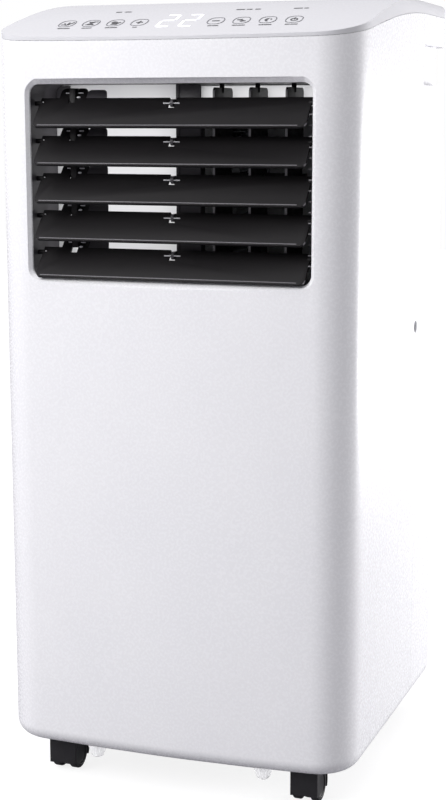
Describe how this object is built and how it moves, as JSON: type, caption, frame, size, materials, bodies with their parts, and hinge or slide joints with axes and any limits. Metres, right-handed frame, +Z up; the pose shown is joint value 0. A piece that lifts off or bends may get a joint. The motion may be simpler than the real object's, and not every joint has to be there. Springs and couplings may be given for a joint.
{
  "type": "portable air conditioner",
  "caption": "Upright white portable air conditioner on castors with a touch panel, black louvered front outlet and rear exhaust port.",
  "frame": {"origin": "on the floor, under the middle of the body", "axes": "+Z up, -Y towards the front with the air outlet, +X to the viewer's right when facing the front"},
  "size_m": [0.32, 0.33, 0.684],
  "materials": {
    "white_shell": "smooth moulded ABS, semi gloss",
    "panel_grey": "light grey glossy panel",
    "louver_black": "satin black",
    "duct_white": "glossy white",
    "castor_black": "fine matt black nylon",
    "clear_plastic": "clear moulded cup",
    "steel": "zinc plated",
    "copper": "drawn copper tube",
    "fins": "bare aluminium",
    "compressor_black": "black paint",
    "rubber": "matt",
    "deck_grey": "grey polypropylene",
    "pan_white": "moulded",
    "fan_grey": "moulded",
    "board_green": "solder mask",
    "filter_net": "woven net in a frame",
    "grille_white": "semi gloss"
  },
  "bodies": {
    "body": {"front_cover": "white_shell", "rear_cover": "white_shell", "top_cover": "panel_grey", "control_board": "board_green", "display_module": "louver_black", "louver_frame": "louver_black", "swing_motor": "steel", "outlet_duct": "duct_white", "upper_scroll": "duct_white", "upper_fan_motor": "steel", "evaporator": "fins", "drip_tray": "deck_grey", "partition_deck": "deck_grey", "electrics_box": "deck_grey", "run_capacitor": "fins", "lower_grille": "grille_white", "exhaust_collar": "grille_white", "exhaust_duct": "deck_grey", "lower_scroll": "deck_grey", "lower_fan_motor": "steel", "condenser": "fins", "compressor": "compressor_black", "compressor_feet": "rubber", "accumulator": "compressor_black", "discharge_pipe": "copper", "suction_pipe": "copper", "liquid_line": "copper", "base_pan": "pan_white", "upper_drain_spout": "grille_white", "lower_drain_spout": "grille_white", "cable_gland": "castor_black", "bumper_cups": "clear_plastic", "bumper_screws": "steel", "side_screws": "steel", "rear_screws": "steel"},
    "louver_1": {"louver_1": "louver_black"},
    "louver_2": {"louver_2": "louver_black"},
    "louver_3": {"louver_3": "louver_black"},
    "louver_4": {"louver_4": "louver_black"},
    "louver_5": {"louver_5": "louver_black"},
    "tie_bar": {"louver_tie_bar": "louver_black"},
    "vane_1": {"vane_1": "louver_black"},
    "vane_2": {"vane_2": "louver_black"},
    "vane_3": {"vane_3": "louver_black"},
    "vane_link": {"vane_link": "louver_black"},
    "upper_wheel": {"upper_blower_wheel": "fan_grey"},
    "lower_wheel": {"lower_blower_wheel": "fan_grey"},
    "filter": {"filter_grille": "grille_white", "filter_mesh": "filter_net"},
    "upper_plug": {"upper_drain_plug": "rubber"},
    "lower_plug": {"lower_drain_plug": "rubber"},
    "castor_front_left": {"castor_hood_front_left": "castor_black"},
    "wheels_front_left": {"castor_wheels_front_left": "castor_black"},
    "castor_front_right": {"castor_hood_front_right": "castor_black"},
    "wheels_front_right": {"castor_wheels_front_right": "castor_black"},
    "castor_rear_left": {"castor_hood_rear_left": "castor_black"},
    "wheels_rear_left": {"castor_wheels_rear_left": "castor_black"},
    "castor_rear_right": {"castor_hood_rear_right": "castor_black"},
    "wheels_rear_right": {"castor_wheels_rear_right": "castor_black"}
  },
  "joints": [
    {"name": "louver_1_tilt", "type": "hinge", "parent": "body", "child": "louver_1", "pos_m": [0, -0.1447, 0.5934], "axis": [1, 0, 0], "range_deg": [-40, 3]},
    {"name": "louver_2_tilt", "type": "hinge", "parent": "body", "child": "louver_2", "pos_m": [0, -0.1447, 0.56255], "axis": [1, 0, 0], "range_deg": [-40, 3]},
    {"name": "louver_3_tilt", "type": "hinge", "parent": "body", "child": "louver_3", "pos_m": [0, -0.1447, 0.5317], "axis": [1, 0, 0], "range_deg": [-40, 3]},
    {"name": "louver_4_tilt", "type": "hinge", "parent": "body", "child": "louver_4", "pos_m": [0, -0.1447, 0.50085], "axis": [1, 0, 0], "range_deg": [-40, 3]},
    {"name": "louver_5_tilt", "type": "hinge", "parent": "body", "child": "louver_5", "pos_m": [0, -0.1447, 0.47], "axis": [1, 0, 0], "range_deg": [-40, 3]},
    {"name": "tie_bar_swing", "type": "hinge", "parent": "louver_1", "child": "tie_bar", "pos_m": [-0.09, -0.13692, 0.60174], "axis": [1, 0, 0], "range_deg": [-3, 40]},
    {"name": "vane_1_turn", "type": "hinge", "parent": "body", "child": "vane_1", "pos_m": [0.031, -0.112, 0.53], "axis": [0, 0, 1], "range_deg": [-25, 25]},
    {"name": "vane_2_turn", "type": "hinge", "parent": "body", "child": "vane_2", "pos_m": [0.062, -0.112, 0.53], "axis": [0, 0, 1], "range_deg": [-25, 25]},
    {"name": "vane_3_turn", "type": "hinge", "parent": "body", "child": "vane_3", "pos_m": [0.093, -0.112, 0.53], "axis": [0, 0, 1], "range_deg": [-25, 25]},
    {"name": "vane_link_swing", "type": "hinge", "parent": "vane_1", "child": "vane_link", "pos_m": [0.031, -0.092, 0.535], "axis": [0, 0, 1], "range_deg": [-25, 25]},
    {"name": "upper_wheel_spin", "type": "hinge", "parent": "body", "child": "upper_wheel", "pos_m": [-0.045, 0, 0.525], "axis": [0, 1, 0], "continuous": true},
    {"name": "lower_wheel_spin", "type": "hinge", "parent": "body", "child": "lower_wheel", "pos_m": [0.02, 0.06, 0.165], "axis": [0, 1, 0], "continuous": true},
    {"name": "filter_pull", "type": "slide", "parent": "body", "child": "filter", "axis": [0, 1, 0], "range_m": [0, 0.08]},
    {"name": "upper_plug_pull", "type": "slide", "parent": "body", "child": "upper_plug", "axis": [0, 1, 0], "range_m": [0, 0.03]},
    {"name": "lower_plug_pull", "type": "slide", "parent": "body", "child": "lower_plug", "axis": [0, 1, 0], "range_m": [0, 0.03]},
    {"name": "swivel_front_left", "type": "hinge", "parent": "body", "child": "castor_front_left", "pos_m": [-0.114, -0.128, 0.03], "axis": [0, 0, 1], "continuous": true},
    {"name": "roll_front_left", "type": "hinge", "parent": "castor_front_left", "child": "wheels_front_left", "pos_m": [-0.114, -0.12, 0.014], "axis": [1, 0, 0], "continuous": true},
    {"name": "swivel_front_right", "type": "hinge", "parent": "body", "child": "castor_front_right", "pos_m": [0.114, -0.128, 0.03], "axis": [0, 0, 1], "continuous": true},
    {"name": "roll_front_right", "type": "hinge", "parent": "castor_front_right", "child": "wheels_front_right", "pos_m": [0.114, -0.12, 0.014], "axis": [1, 0, 0], "continuous": true},
    {"name": "swivel_rear_left", "type": "hinge", "parent": "body", "child": "castor_rear_left", "pos_m": [-0.114, 0.118, 0.03], "axis": [0, 0, 1], "continuous": true},
    {"name": "roll_rear_left", "type": "hinge", "parent": "castor_rear_left", "child": "wheels_rear_left", "pos_m": [-0.114, 0.126, 0.014], "axis": [1, 0, 0], "continuous": true},
    {"name": "swivel_rear_right", "type": "hinge", "parent": "body", "child": "castor_rear_right", "pos_m": [0.114, 0.118, 0.03], "axis": [0, 0, 1], "continuous": true},
    {"name": "roll_rear_right", "type": "hinge", "parent": "castor_rear_right", "child": "wheels_rear_right", "pos_m": [0.114, 0.126, 0.014], "axis": [1, 0, 0], "continuous": true}
  ],
  "couplings": [
    {"joint": "louver_2_tilt", "follows": "louver_1_tilt", "ratio": 1},
    {"joint": "louver_3_tilt", "follows": "louver_1_tilt", "ratio": 1},
    {"joint": "louver_4_tilt", "follows": "louver_1_tilt", "ratio": 1},
    {"joint": "louver_5_tilt", "follows": "louver_1_tilt", "ratio": 1},
    {"joint": "tie_bar_swing", "follows": "louver_1_tilt", "ratio": -1},
    {"joint": "vane_2_turn", "follows": "vane_1_turn", "ratio": 1},
    {"joint": "vane_3_turn", "follows": "vane_1_turn", "ratio": 1},
    {"joint": "vane_link_swing", "follows": "vane_1_turn", "ratio": -1}
  ]
}
